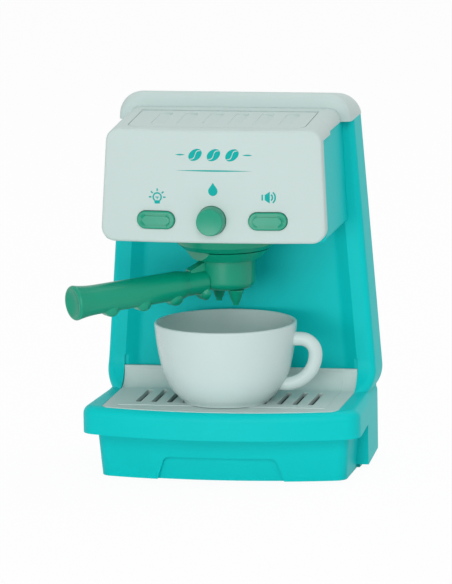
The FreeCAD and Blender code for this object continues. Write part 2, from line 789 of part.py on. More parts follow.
def make_oval_button(x):
    # The cap follows the panel's face, and its flange stays behind the panel.
    cap = capsule(oval_long, oval_high, body_front - 5, head_front, x, button_z).common(panel_core(oval_out))
    cap = round_edges(cap, 0.7, lambda e: e.BoundBox.YMax < head_front - 1)
    raised = capsule(oval_long - 5.3, oval_high - 4.8, body_front - 5, head_front, x, button_z)
    raised = raised.common(panel_core(oval_out + oval_raise))
    inside = capsule(oval_long - 3, oval_high - 3, body_front - 5, head_front + 1, x, button_z)
    inside = inside.common(panel_core(oval_out - 1.6))
    flange = capsule(oval_long + 2.4, oval_high + 2.4, head_front - 1.2, head_front, x, button_z)
    stem = rod(2.0, (x, panel_y, button_z), (0, 1, 0), board_y - 6.0 - panel_y)
    button = fuse(cap, raised, flange).cut(inside)
    return fuse(button, stem.common(panel_core(0)))


def make_board():
    board = box(-board_half, board_half, board_y, board_y + board_thick, board_low, board_high)
    holes = [rod(6.2, (0, board_y - 1, button_z), (0, 1, 0), 4)]
    holes += [rod(screw_r + 0.2, (side * board_screw_x, board_y - 1, board_screw_z), (0, 1, 0), 4)
              for side in (-1, 1)]
    return board.cut(holes)


def make_switch(x):
    body = box(x - 3, x + 3, board_y - 3.4, board_y, button_z - 3, button_z + 3)
    return fuse(body, rod(1.7, (x, board_y - 4.4, button_z), (0, 1, 0), 1.4))


def make_led():
    z = board_high - 4.0
    stem = rod(led_r, (led_x, board_y - 4.0, z), (0, 1, 0), 4.0)
    flange = rod(led_r + 0.4, (led_x, board_y - 1.0, z), (0, 1, 0), 1.0)
    return fuse(stem, Part.makeSphere(led_r, Vector(led_x, board_y - 4.0, z)), flange)


# Collar under the head, with slots for the portafilter's lugs

def make_collar():
    y = outlet_y
    outline = [(lip_r, collar_low), (collar_r - 5.0, collar_low), (collar_r - 1.2, collar_low + 3.0),
               (collar_r, head_low), (nozzle_r + slip, head_low), (nozzle_r + slip, head_low - 1.6),
               (cavity_r, head_low - 1.6), (cavity_r, collar_low + 2.2), (lip_r, collar_low + 2.2)]
    collar = turned(outline, y)
    slots = box(-cavity_r, cavity_r, y - 3.6, y + 3.6, collar_low - 1, collar_low + 2.5)
    return collar.cut(slots.common(rod(cavity_r, (0, y, 0), (0, 0, 1), 200)))


def toward(s, z, across=0.0):
    # A point s along the handle, and across it, at the height z.
    angle = math.radians(handle_angle)
    x = s * math.cos(angle) - across * math.sin(angle)
    y = outlet_y + s * math.sin(angle) + across * math.cos(angle)
    return (x, y, z)


def make_portafilter_ring():
    y = outlet_y
    neck_out = lip_r - 0.4
    neck_in = lip_r - 2.6
    neck_top = collar_low + 5.2
    outline = [(basket_r, ring_low), (ring_r_low - ring_edge, ring_low), (ring_r_low, ring_low + ring_edge),
               (ring_r, ring_top), (neck_out, ring_top), (neck_out, neck_top), (neck_in, neck_top),
               (neck_in, ring_low + 1.6), (basket_r, ring_low + 1.6)]
    ring = turned(outline, y)
    lugs = box(-lug_r, lug_r, -3.2, 3.2, collar_low + 2.6, neck_top)
    lugs = lugs.common(rod(lug_r, (0, 0, 0), (0, 0, 1), 200)).cut(rod(lip_r - 1.4, (0, 0, 0), (0, 0, 1), 200))
    lugs.rotate(Vector(0, 0, 0), Vector(0, 0, 1), lug_angle)
    lugs.translate(Vector(0, y, 0))
    flat = box(ring_flat, ring_flat + 20, -40, 40, ring_low - 5, ring_top + 0.01)
    flat.rotate(Vector(0, 0, 0), Vector(0, 0, 1), handle_angle)
    flat.translate(Vector(0, y, 0))
    return fuse(ring.cut(flat), lugs)


def make_basket():
    y = outlet_y
    outer = rod(basket_r, (0, y, basket_low), (0, 0, 1), ring_low - basket_low)
    outer = round_edges(outer, basket_corner, lambda e: e.BoundBox.ZMax < basket_low + 0.01)
    neck = rod(lip_r - 2.6 - 0.02, (0, y, ring_low - 1), (0, 0, 1), 2.6)
    inner = rod(lip_r - 4.2, (0, y, basket_low + basket_wall + 1), (0, 0, 1), 40)
    drains = [rod(1.0, toward(0, basket_low - 1, side * spout_out * 0.8), (0, 0, 1), 6) for side in (-1, 1)]
    return fuse(outer, neck).cut([inner] + drains)


def make_spouts():
    spouts = []
    for side in (-1, 1):
        x, y, z = toward(0, spout_low, side * spout_out)
        nozzle = rod(spout_tip_r, (x, y, z), (0, 0, 1), spout_tip)
        body = cone(spout_tip_r + 0.5, spout_r, (x, y, z + spout_tip), (0, 0, 1), basket_low - z - spout_tip)
        bore_x, bore_y, _ = toward(0, z, side * spout_out * 0.8)
        bore = rod(0.9, (x, y, z - 1), (bore_x - x, bore_y - y, basket_low - spout_low + 1), 11)
        spouts.append(fuse(nozzle, body).cut(bore))
    bridge = box(-1.2, 1.2, -spout_out, spout_out, basket_low - 1.8, basket_low)
    bridge.rotate(Vector(0, 0, 0), Vector(0, 0, 1), handle_angle)
    bridge.translate(Vector(0, outlet_y, 0))
    return fuse(bridge, *spouts)


def make_handle():
    # Turned about the X axis first, then swung to its photographed direction.
    start = basket_r - 1.0
    end = handle_long
    edges = [
        line((start, 0, 0), (start, 0, neck_r)),
        line((start, 0, neck_r), (26.0, 0, neck_r)),
        arc((26.0, 0, neck_r), (28.4, 0, (neck_r + grip_r) / 2 + 0.15), (31.0, 0, grip_r)),
        line((31.0, 0, grip_r), (end - 14.0, 0, grip_r + 0.2)),
        arc((end - 14.0, 0, grip_r + 0.2), (end - 7.5, 0, grip_r + 0.6), (end - 2.0, 0, flare_r)),
        arc((end - 2.0, 0, flare_r), (end - 0.3, 0, flare_r - 0.4), (end, 0, flare_r - 1.8)),
        line((end, 0, flare_r - 1.8), (end, 0, 0)),
        line((end, 0, 0), (start, 0, 0)),
    ]
    handle = face_of(edges).revolve(Vector(0, 0, 0), Vector(1, 0, 0), 360)
    dish_half = flare_r - 1.9
    dish_r = (dish_half * dish_half + dish_deep * dish_deep) / (2 * dish_deep)
    handle = handle.cut(Part.makeSphere(dish_r, Vector(end - dish_deep + dish_r, 0, 0)))
    low = neck_r - 1
    web = [(start, low), (wedge_out, low), (wedge_out, neck_r + 0.6), (start, wedge_high)]
    web = face_of(lines([(x, -wedge_half, z) for x, z in web]))
    handle = fuse(handle, web.extrude(Vector(0, 2 * wedge_half, 0)))
    bumps = []
    for i in range(bump_count):
        s = bump_first - i * bump_pitch
        z = bump_r - grip_r - bump_out
        bump = rod(bump_r, (s, -bump_half, z), (0, 1, 0), 2 * bump_half)
        ends = [Part.makeSphere(bump_r, Vector(s, side * bump_half, z)) for side in (-1, 1)]
        bumps.append(fuse(bump, *ends))
    handle = fuse(handle, *bumps)
    handle.rotate(Vector(basket_r, 0, 0), Vector(0, 1, 0), handle_droop)
    handle.translate(Vector(0, 0, handle_z))
    handle.rotate(Vector(0, 0, 0), Vector(0, 0, 1), handle_angle)
    handle.translate(Vector(0, outlet_y, 0))
    seat = rod(basket_r + 0.02, (0, outlet_y, basket_low), (0, 0, 1), 30)
    under = rod(basket_r + 0.02, (0, outlet_y, basket_low - 8), (0, 0, 1), 8)
    return handle.cut([seat, under])


# Tray, basin and cup

def tray_sheet(up, down):
    # Side view of the tray: flat, then swept up to its back edge, as a band about the top surface.
    r = tray_sweep
    bend_y = tray_back - r
    bend_z = deck_top + r
    k = math.sqrt(0.5)
    front = body_front - 5
    inner = r - up
    outer = r + down
    low = deck_top - down
    top = deck_top + up
    x = -beyond
    edges = [
        line((x, front, low), (x, bend_y, low)),
        arc((x, bend_y, low), (x, bend_y + outer * k, bend_z - outer * k), (x, bend_y + outer, bend_z)),
        line((x, bend_y + outer, bend_z), (x, bend_y + outer, tray_high)),
        line((x, bend_y + outer, tray_high), (x, bend_y + inner, tray_high)),
        line((x, bend_y + inner, tray_high), (x, bend_y + inner, bend_z)),
        arc((x, bend_y + inner, bend_z), (x, bend_y + inner * k, bend_z - inner * k), (x, bend_y, top)),
        line((x, bend_y, top), (x, front, top)),
        line((x, front, top), (x, front, low)),
    ]
    return face_of(edges).extrude(Vector(2 * beyond, 0, 0))


def make_tray():
    plan = bowed_prism(tray_half, tray_half, body_front + tray_inset, tray_back + tray_thick,
                       rim_bow - tray_inset, 30, 60, tray_corner - 0.2)
    tray = tray_sheet(0, tray_thick).common(plan)
    field = tray_sheet(pad_up, 1.0).common(box(-pad_half, pad_half, pad_front, 40, 30, tray_high - 1.5))
    tray = fuse(tray, field)
    slots = []
    for i in range(slot_count):
        x = (i - (slot_count - 1) / 2) * slot_pitch
        slot = box(x - slot_w / 2, x + slot_w / 2, slot_front, slot_rear, 30, 60)
        slots.append(round_edges(slot, slot_w / 2 - 0.05, upright))
    return tray.cut(slots)


def make_basin():
    flange_top = deck_top - tray_thick
    flange = bowed_prism(tray_half - 1.5, tray_half - 1.5, body_front + tray_inset + 1.5, 13.5,
                         rim_bow - tray_inset, flange_top - 1.5, flange_top, tray_corner - 1)
    pan = box(-basin_half, basin_half, basin_front, basin_rear, basin_low, flange_top - 0.5)
    pan = round_edges(pan, basin_corner, upright)
    inside_x = basin_half - basin_wall
    inside = box(-inside_x, inside_x, basin_front + basin_wall, basin_rear - basin_wall, basin_low + basin_wall,
                 deck_top)
    inside = round_edges(inside, basin_corner - basin_wall, upright)
    return fuse(flange, pan).cut(inside)


def cup_profile():
    # Half sections of the bowl and of the room inside it, as edges from the axis round to the axis.
    foot = cup_foot_r
    rim_r = cup_rim_r
    inner_r = rim_r - cup_wall
    lip_z = cup_high - 0.8
    outside = [
        line((0, 0, 0.8), (foot - 2.0, 0, 0.8)),
        line((foot - 2.0, 0, 0.8), (foot - 1.2, 0, 0)),
        line((foot - 1.2, 0, 0), (foot, 0, 0)),
        line((foot, 0, 0), (foot + 0.6, 0, 1.2)),
        arc((foot + 0.6, 0, 1.2), (foot + 7.6, 0, 8.6), (rim_r - 3.4, 0, 19.6)),
        arc((rim_r - 3.4, 0, 19.6), (rim_r - 1.2, 0, 31.0), (rim_r, 0, lip_z)),
        arc((rim_r, 0, lip_z), (rim_r - cup_wall / 2, 0, cup_high), (inner_r, 0, lip_z)),
    ]
    inside = [
        arc((inner_r, 0, lip_z), (inner_r - 1.2, 0, 31.0), (inner_r - 3.5, 0, 20.4)),
        arc((inner_r - 3.5, 0, 20.4), (foot + 5.3, 0, 9.8), (foot - 3.0, 0, 3.6)),
        line((foot - 3.0, 0, 3.6), (0, 0, 3.2)),
    ]
    bowl = outside + inside + [line((0, 0, 3.2), (0, 0, 0.8))]
    room = inside + [line((0, 0, 3.2), (0, 0, lip_z)), line((0, 0, lip_z), (inner_r, 0, lip_z))]
    return face_of(bowl), face_of(room)


def make_cup():
    bowl, room = [flat.revolve(Vector(0, 0, 0), Vector(0, 0, 1), 360) for flat in cup_profile()]
    # The handle: straight out from the bowl, a tight bend down, then a wide one back to the bowl
    r = cup_handle_r
    root_x = cup_rim_r - 3.0
    bend_x = cup_handle_out - cup_handle_bend
    side_z = cup_handle_top - cup_handle_bend
    turn = 2 * math.atan2(cup_handle_out - cup_handle_end_x, side_z - cup_handle_end_z)
    wide_r = (side_z - cup_handle_end_z) / math.sin(turn)
    wide_x = cup_handle_out - wide_r
    top_run = rod(r, (root_x, 0, cup_handle_top), (1, 0, 0), bend_x - root_x)
    tight = Part.Face(Part.Wire(Part.makeCircle(r, Vector(bend_x, 0, cup_handle_top), Vector(1, 0, 0))))
    tight = tight.revolve(Vector(bend_x, 0, side_z), Vector(0, 1, 0), 90)
    wide = Part.Face(Part.Wire(Part.makeCircle(r, Vector(cup_handle_out, 0, side_z), Vector(0, 0, 1))))
    wide = wide.revolve(Vector(wide_x, 0, side_z), Vector(0, 1, 0), math.degrees(turn))
    low_run = rod(r, (cup_handle_end_x, 0, cup_handle_end_z), (-math.sin(turn), 0, -math.cos(turn)),
                  cup_handle_root)
    loop = fuse(top_run, tight, wide, low_run)
    cup = fuse(bowl, loop.cut(room))
    cup.translate(Vector(0, cup_y, deck_top + pad_up))
    return cup


# Rear cover, base plate, battery bay and electrics

def make_rear_cover():
    cover = rear_opening(0, body_rear - wall, body_rear)
    ring = rod(speaker_r + 2.0, (0, body_rear - wall + 0.5, speaker_z), (0, -1, 0), 6.5)
    ring = ring.cut(rod(speaker_r + 0.1, (0, body_rear - wall + 1, speaker_z), (0, -1, 0), 10))
    cover = fuse(cover, ring)
    holes = []
    for i in range(sound_slots):
        z = speaker_z + (i - (sound_slots - 1) / 2) * sound_pitch
        half = math.sqrt((speaker_r - 4) ** 2 - (z - speaker_z) ** 2)
        holes.append(capsule(2 * half, 2.0, body_rear - 4, body_rear + 1, 0, z))
    for x, z in rear_screw_points:
        holes.append(rod(screw_r + 0.2, (x, body_rear + 1, z), (0, -1, 0), 5))
        holes.append(rod(screw_head_r + 0.2, (x, body_rear + 1, z), (0, -1, 0), 2.25))
    return cover.cut(holes)


def make_base_plate():
    inset = wall + notch_deep + slip
    front = skirt(inset, 0, rim_low).common(box(-90, 90, -90, block_front + wall + 2, 0, plate_thick))
    rear = box(-block_half + wall + slip, block_half - wall - slip, block_front + wall + 1.0,
               body_rear - 4.0 - slip, 0, plate_thick)
    plate = fuse(front, rear)
    bay_x = bay_long / 2
    top = cell_z + cell_r + 0.5
    bay_y = bay_half_y + bay_wall
    outer = box(-bay_x - bay_wall, bay_x + bay_wall, cell_y - bay_y, cell_y + bay_y, 0, top + bay_wall)
    inner = box(-bay_x, bay_x, cell_y - bay_half_y, cell_y + bay_half_y, floor_under, top)
    plate = fuse(plate, outer).cut([inner, door_block(slip, floor_under)])
    holes = []
    for x, y in base_screw_points:
        holes.append(rod(screw_r + 0.2, (x, y, floor_under), (0, 0, 1), 6))
        holes.append(rod(screw_head_r + 0.2, (x, y, floor_under), (0, 0, 1), 2.2))
    holes += [rod(foot_r + 0.1, (x, y, floor_under), (0, 0, 1), foot_thick + 1) for x, y in foot_points]
    lug = rod(boss_r, (0, door_screw_y, door_thick), (0, 0, 1), 9)
    thread = rod(screw_r + thread_room, (0, door_screw_y, floor_under), (0, 0, 1), 20)
    return fuse(plate.cut(holes), lug).cut(thread)



def door_block(grow, z0):
    front = cell_y - door_half_y
    rear = cell_y + door_half_y
    block = box(-door_half_x - grow, door_half_x + grow, front - grow, rear + grow, z0, door_thick)
    tab = box(-door_tab_half - grow, door_tab_half + grow, front - door_tab - grow, front, z0, door_thick)
    return fuse(block, tab)


def make_battery_door():
    door = door_block(0, 0)
    ribs = [box(-8, 8, cell_y + door_half_y - 5.0 - i * 2.4, cell_y + door_half_y - 4.0 - i * 2.4, -1, 0.5)
            for i in range(4)]
    hole = rod(screw_r + 0.2, (0, door_screw_y, -1), (0, 0, 1), 5)
    head = rod(screw_head_r + 0.2, (0, door_screw_y, -1), (0, 0, 1), 2.25)
    return door.cut(ribs + [hole, head])


def make_cell(side):
    y = cell_y + side * (cell_r + cell_gap)
    x0 = -cell_long / 2
    can = rod(cell_r, (x0, y, cell_z), (1, 0, 0), cell_long - 1.2)
    can = round_edges(can, 0.6, lambda e: True)
    tip_x = cell_long / 2 - 1.3
    return fuse(can, rod(2.6, (tip_x, y, cell_z), (1, 0, 0), 1.3))


def make_contacts():
    plates = []
    for side in (-1, 1):
        for sx in (-1, 1):
            y = cell_y + side * (cell_r + cell_gap)
            x = sx * (bay_long / 2 - 0.5)
            x0, x1 = sorted((x, x + sx * 0.45))
            plate = box(x0, x1, y - 5, y + 5, cell_z - 6.5, cell_z + 5)
            reach = bay_long / 2 - 0.5 - cell_long / 2 - 0.15
            bulge = cone(3.4, 1.2, (x, y, cell_z), (-sx, 0, 0), reach)
            plates.append(fuse(plate, bulge))
    return Part.makeCompound(plates)


def make_speaker():
    back = body_rear - wall - 0.1
    frame = rod(speaker_r, (0, back, speaker_z), (0, -1, 0), 1.6)
    basket = cone(speaker_r - 1.5, 8.5, (0, back - 1.6, speaker_z), (0, -1, 0), 5.0)
    magnet = rod(8.5, (0, back - 6.6, speaker_z), (0, -1, 0), 4.0)
    mouth = cone(speaker_r - 3.5, 4.0, (0, back + 0.1, speaker_z), (0, -1, 0), 4.5)
    return fuse(frame, basket, magnet).cut(mouth)


def screw(x, y, z, direction, length):
    # A screw with a straight slot across its head.
    head = rod(screw_head_r, (x, y, z), direction, screw_head)
    shank = rod(screw_r, (x, y, z), direction, length)
    deep = 0.35
    half_y = 0.4 if direction[2] else deep
    half_z = deep if direction[2] else 0.4
    slot = box(x - screw_head_r - 1, x + screw_head_r + 1, y - half_y, y + half_y, z - half_z, z + half_z)
    return fuse(head, shank).cut(slot)


def make_feet():
    return Part.makeCompound([rod(foot_r, (x, y, 0), (0, 0, 1), foot_thick) for x, y in foot_points])


save("body_shell", make_body_shell())
save("head_cover", make_head_cover())
save("tank_lid", make_tank_lid())
save("water_tank", make_water_tank())
save("valve_body", make_valve_body())
save("valve_spool", make_spool())
save("spool_seals", Part.makeCompound(make_seals()))
save("brew_spring", make_brew_spring())
save("brew_button", make_brew_button())
save("light_button", make_oval_button(-button_x))
save("sound_button", make_oval_button(button_x))
save("control_board", make_board())
save("light_switch", make_switch(-button_x))
save("sound_switch", make_switch(button_x))
save("indicator_led", make_led())
save("group_collar", make_collar())
save("portafilter_ring", make_portafilter_ring())
save("filter_basket", make_basket())
save("portafilter_spouts", make_spouts())
save("portafilter_handle", make_handle())
save("drip_tray", make_tray())
save("drip_basin", make_basin())
save("cup", make_cup())
save("rear_cover", make_rear_cover())
save("base_plate", make_base_plate())
save("battery_door", make_battery_door())
save("battery_front", make_cell(-1))
save("battery_rear", make_cell(1))
save("battery_contacts", make_contacts())
save("speaker", make_speaker())
save("feet", make_feet())
save("rear_screws", Part.makeCompound([screw(x, body_rear - screw_sunk, z, (0, -1, 0), 10.0)
                                       for x, z in rear_screw_points]))
save("base_screws", Part.makeCompound([screw(x, y, screw_sunk, (0, 0, 1), 10.0)
                                       for x, y in base_screw_points]))
board_screw_y = board_y + board_thick + screw_head
save("board_screws", Part.makeCompound([screw(x, board_screw_y, board_screw_z, (0, -1, 0), 7.0)
                                        for x in (-board_screw_x, board_screw_x)]))
save("door_screw", screw(0, door_screw_y, screw_sunk, (0, 0, 1), 8.0))
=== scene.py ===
import bpy
import bmesh
import math
from mathutils import Vector, Matrix
from mathutils.bvhtree import BVHTree


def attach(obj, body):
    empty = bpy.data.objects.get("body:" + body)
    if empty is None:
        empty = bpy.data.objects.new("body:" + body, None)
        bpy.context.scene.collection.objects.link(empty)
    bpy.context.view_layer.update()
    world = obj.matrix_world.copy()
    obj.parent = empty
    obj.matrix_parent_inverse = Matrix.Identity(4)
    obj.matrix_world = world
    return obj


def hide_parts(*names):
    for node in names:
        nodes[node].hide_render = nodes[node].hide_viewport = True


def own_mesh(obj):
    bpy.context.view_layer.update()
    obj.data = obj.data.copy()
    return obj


# Toy coffee maker, in metres. The front faces -Y, Z is up and the floor is Z = 0.

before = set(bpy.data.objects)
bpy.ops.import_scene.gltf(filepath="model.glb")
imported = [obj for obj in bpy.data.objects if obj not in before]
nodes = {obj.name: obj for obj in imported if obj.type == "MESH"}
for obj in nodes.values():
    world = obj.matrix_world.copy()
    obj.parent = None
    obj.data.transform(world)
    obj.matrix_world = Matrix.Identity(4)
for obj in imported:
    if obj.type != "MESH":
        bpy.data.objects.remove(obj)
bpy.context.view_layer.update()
scene = bpy.context.scene
print("frame loaded,", len(nodes), "nodes")

mm = 0.001


def srgb(red, green, blue):
    # screen colour, 0 to 255, as a linear colour
    def linear(value):
        value = value / 255
        return value / 12.92 if value <= 0.04045 else ((value + 0.055) / 1.055) ** 2.4
    return (linear(red), linear(green), linear(blue), 1.0)


# Materials

class Value:
    # a number inside a material; arithmetic on it adds Math nodes
    def __init__(self, nodeSet, socket):
        self.nodeSet = nodeSet
        self.socket = socket

    def join(self, operation, first, second):
        return self.nodeSet.add("ShaderNodeMath", {"operation": operation}, {0: first, 1: second})

    def __add__(self, other):
        return self.join("ADD", self, other)

    __radd__ = __add__

    def __sub__(self, other):
        return self.join("SUBTRACT", self, other)

    def __rsub__(self, other):
        return self.join("SUBTRACT", other, self)

    def __mul__(self, other):
        return self.join("MULTIPLY", self, other)

    __rmul__ = __mul__

    def larger(self, other):
        return self.join("MAXIMUM", self, other)


class NodeSet:
    # the nodes of one material or of the sky
    def __init__(self, tree):
        self.tree = tree

    def add(self, kind, settings=None, sockets=None, out=0):
        node = self.tree.nodes.new(kind)
        for key, value in (settings or {}).items():
            setattr(node, key, value)
        for key, value in (sockets or {}).items():
            self.feed(node.inputs[key], value)
        return Value(self, node.outputs[out])

    def feed(self, socket, value):
        if isinstance(value, Value):
            self.tree.links.new(value.socket, socket)
        else:
            socket.default_value = value


class Finish(NodeSet):
    # one material: a Principled shader and the nodes that feed it
    def __init__(self, name):
        self.material = bpy.data.materials.new(name)
        self.material.use_nodes = True
        super().__init__(self.material.node_tree)
        self.shader = self.tree.nodes["Principled BSDF"]
        self.output = self.tree.nodes["Material Output"]
        self.place = self.add("ShaderNodeTexCoord", out="Object")

    def set(self, **values):
        for key, value in values.items():
            self.feed(self.shader.inputs[key.replace("_", " ")], value)

    def noise(self, scale, detail=2.0, rough=0.5):
        sockets = {"Vector": self.place, "Scale": scale, "Detail": detail, "Roughness": rough}
        return self.add("ShaderNodeTexNoise", {}, sockets)

    def blend(self, factor, first, second):
        # a Mix node set to colour takes its two colours at inputs 6 and 7 and gives output 2
        return self.add("ShaderNodeMix", {"data_type": "RGBA"}, {0: factor, 6: first, 7: second}, out=2)

    def bump(self, height, strength, distance):
        return self.add("ShaderNodeBump", {}, {"Height": height, "Strength": strength, "Distance": distance})


def shifted(colour, gain):
    return tuple(min(1.0, c * gain) for c in colour[:3]) + (1.0,)


# cloud is the faint unevenness of the colour, speck the grain of the mould
mould = {"cloudScale": 38, "cloudDetail": 3.0, "speckScale": 1900, "speckDetail": 2.0, "speckRough": 0.6,
         "glossDrop": 0.05, "glossSpread": 0.06, "grainDeep": 0.04 * mm, "coatRough": 0.12}


def mouldedPlastic(name, colour, rough, grain, drift=0.03, coat=0.0, specular=0.12):
    finish = Finish(name)
    cloud = finish.noise(mould["cloudScale"], mould["cloudDetail"])
    speck = finish.noise(mould["speckScale"], mould["speckDetail"], mould["speckRough"])
    spread = mould["glossSpread"]
    finish.set(Base_Color=finish.blend(cloud, shifted(colour, 1 - drift), shifted(colour, 1 + drift)),
               Roughness=rough - mould["glossDrop"] + cloud * spread + speck * spread,
               Normal=finish.bump(speck, grain, mould["grainDeep"]))
    finish.set(Specular_IOR_Level=specular, Coat_Weight=coat, Coat_Roughness=mould["coatRough"])
    return finish.material


plastics = {
    "turquoisePlastic": {"colour": srgb(0, 202, 202), "rough": 0.46, "grain": 0.25},
    "whitePlastic": {"colour": srgb(199, 216, 213), "rough": 0.48, "grain": 0.25, "drift": 0.015},
    "greenPlastic": {"colour": srgb(0, 150, 118), "rough": 0.3, "grain": 0.12, "specular": 0.35},
    "cupPlastic": {"colour": srgb(204, 221, 219), "rough": 0.26, "grain": 0.05, "drift": 0.012, "coat": 0.15},
    "tankPlastic": {"colour": srgb(205, 222, 224), "rough": 0.3, "grain": 0.1},
    "greyPlastic": {"colour": srgb(150, 158, 158), "rough": 0.5, "grain": 0.3},
    "blackPlastic": {"colour": srgb(34, 36, 38), "rough": 0.5, "grain": 0.3},
    "boardLaminate": {"colour": srgb(28, 104, 66), "rough": 0.38, "grain": 0.1},
    "lampPlastic": {"colour": srgb(240, 240, 228), "rough": 0.12, "grain": 0.02},
    "blackRubber": {"colour": srgb(30, 31, 32), "rough": 0.75, "grain": 0.5},
    "footRubber": {"colour": srgb(70, 76, 76), "rough": 0.8, "grain": 0.5},
    "cellSleeve": {"colour": srgb(42, 52, 60), "rough": 0.3, "grain": 0.05},
    "printInk": {"colour": srgb(0, 172, 166), "rough": 0.5, "grain": 0.1},
}

brushed = {"scale": 900, "detail": 3.0, "fine": 0.6, "rough": 0.24, "roughSpread": 0.14,
           "dark": srgb(176, 178, 180), "bright": srgb(206, 207, 208)}


def brushedSteel(name):
    finish = Finish(name)
    streak = finish.noise(brushed["scale"], brushed["detail"], brushed["fine"])
    finish.set(Base_Color=finish.blend(streak, brushed["dark"], brushed["bright"]),
               Roughness=brushed["rough"] + streak * brushed["roughSpread"], Metallic=1.0)
    return finish.material


finishes = {name: mouldedPlastic(name, **look) for name, look in plastics.items()}
finishes["steel"] = brushedSteel("steel")

madeOf = {
    "turquoisePlastic": ("body_shell", "rear_cover", "base_plate", "battery_door"),
    "whitePlastic": ("head_cover", "tank_lid", "drip_tray"),
    "greenPlastic": ("brew_button", "light_button", "sound_button", "group_collar", "portafilter_ring",
                     "filter_basket", "portafilter_spouts", "portafilter_handle"),
    "cupPlastic": ("cup",),
    "tankPlastic": ("water_tank",),
    "greyPlastic": ("valve_body", "valve_spool", "drip_basin"),
    "blackPlastic": ("light_switch", "sound_switch", "speaker"),
    "boardLaminate": ("control_board",),
    "lampPlastic": ("indicator_led",),
    "blackRubber": ("spool_seals",),
    "footRubber": ("feet",),
    "cellSleeve": ("battery_front", "battery_rear"),
    "steel": ("brew_spring", "battery_contacts", "rear_screws", "base_screws", "board_screws", "door_screw"),
}
finishOf = {node: finishes[name] for name, group in madeOf.items() for node in group}
print("materials made")


# The rigid pieces get soft edges, as mouldings have

edges = {"join": 0.02 * mm, "angle": math.radians(32), "round": 0.3 * mm, "steps": 2, "evenWeight": 70}


def softened(obj):
    obj.data.shade_smooth()
    weld = obj.modifiers.new("weld", "WELD")
    weld.merge_threshold = edges["join"]
    bevel = obj.modifiers.new("edges", "BEVEL")
    bevel.limit_method = "ANGLE"
    bevel.angle_limit = edges["angle"]
    bevel.width = edges["round"]
    bevel.segments = edges["steps"]
    even = obj.modifiers.new("evenNormals", "WEIGHTED_NORMAL")
    even.mode = "FACE_AREA_WITH_ANGLE"
    even.weight = edges["evenWeight"]


for name, obj in nodes.items():
    obj.data.materials.clear()
    obj.data.materials.append(finishOf[name])
    softened(obj)
print("nodes finished")


# The spring behind the round button shortens when the button goes in; here it only gets a copy with a mesh of
# its own, which replaces the hidden node

springPress = {"node": "brew_spring", "joint": "brew_press", "body": "machine", "slot": "steel",
               "travel": 3.5 * mm}


def makeSpring():
    spring = bpy.data.objects.new("pressSpring", nodes[springPress["node"]].data.copy())
    scene.collection.objects.link(spring)
    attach(spring, springPress["body"])
    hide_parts(springPress["node"])
    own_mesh(spring)


makeSpring()
print("spring made")


# Signs printed on the panel, in millimetres: x to the right, z up

signInk = {"lift": 0.06 * mm, "rayStart": -200 * mm, "join": 0.001 * mm, "body": "machine",
           "slot": "turquoise_plastic"}

bulbSign = {"x": -29.7, "z": 155.8, "globe": 2.2, "globeFrom": -50, "globeTo": 230, "line": 0.8,
            "capTop": 1.7, "capLow": 3.5, "capWide": 3.4, "capNarrow": 2.7, "wire": 1.9, "stem": 0.9,
            "thin": 0.5, "rayIn": 3.2, "rayOut": 4.6, "rays": (0, 40, 90, 140, 180)}
dropSign = {"x": 0.7, "z": 159.45, "r": 2.55, "tip": 4.45}
soundSign = {"x": 30.8, "z": 156.3, "line": 0.85, "barX": -3.5, "barHigh": 3.1, "coneIn": -2.2,
             "coneOut": 0.5, "coneLow": 2.7, "coneHigh": 6.3, "waves": ((1.9, 2.0), (3.4, 3.6)),
             "spread": 50}
beanSign = {"xs": (-9.0, 1.0, 11.0), "z": 178.6, "long": 8.0, "wide": 5.6, "turn": 35, "split": 0.45,
            "splitSway": 0.35, "lineLeft": -20.0, "lineRight": 22.0, "lineZ": 170.2, "lineThick": 0.8,
            "sideLong": 5.5}


def arcPoints(x, z, r, start, end, steps=28):
    turns = [math.radians(start + (end - start) * i / steps) for i in range(steps + 1)]
    return [(x + r * math.cos(t), z + r * math.sin(t)) for t in turns]


def curvedLine(x, z, r, width, start, end):
    outer = arcPoints(x, z, r + width / 2, start, end)
    inner = arcPoints(x, z, r - width / 2, start, end)
    return [[a, b, d, c] for a, b, c, d in zip(outer, outer[1:], inner, inner[1:])]


def straightLine(a, b, width):
    along = Vector((b[0] - a[0], b[1] - a[1])).normalized() * width / 2
    side = (-along.y, along.x)
    return [[(a[0] + side[0], a[1] + side[1]), (b[0] + side[0], b[1] + side[1]),
             (b[0] - side[0], b[1] - side[1]), (a[0] - side[0], a[1] - side[1])]]


def taperedLine(left, right, z, thick, steps=12):
    # thickest in the middle, a point at both ends
    shares = [i / steps for i in range(steps + 1)]
    ends = [(left + (right - left) * share, math.sin(math.pi * share) * thick / 2) for share in shares]
    return [[(x0, z - t0), (x1, z - t1), (x1, z + t1), (x0, z + t0)]
            for (x0, t0), (x1, t1) in zip(ends, ends[1:])]


def coneShape(sign):
    x, z = sign["x"], sign["z"]
    low, high = sign["coneLow"] / 2, sign["coneHigh"] / 2
    return [[(x + sign["coneIn"], z - low), (x + sign["coneOut"], z - high),
             (x + sign["coneOut"], z + high), (x + sign["coneIn"], z + low)]]


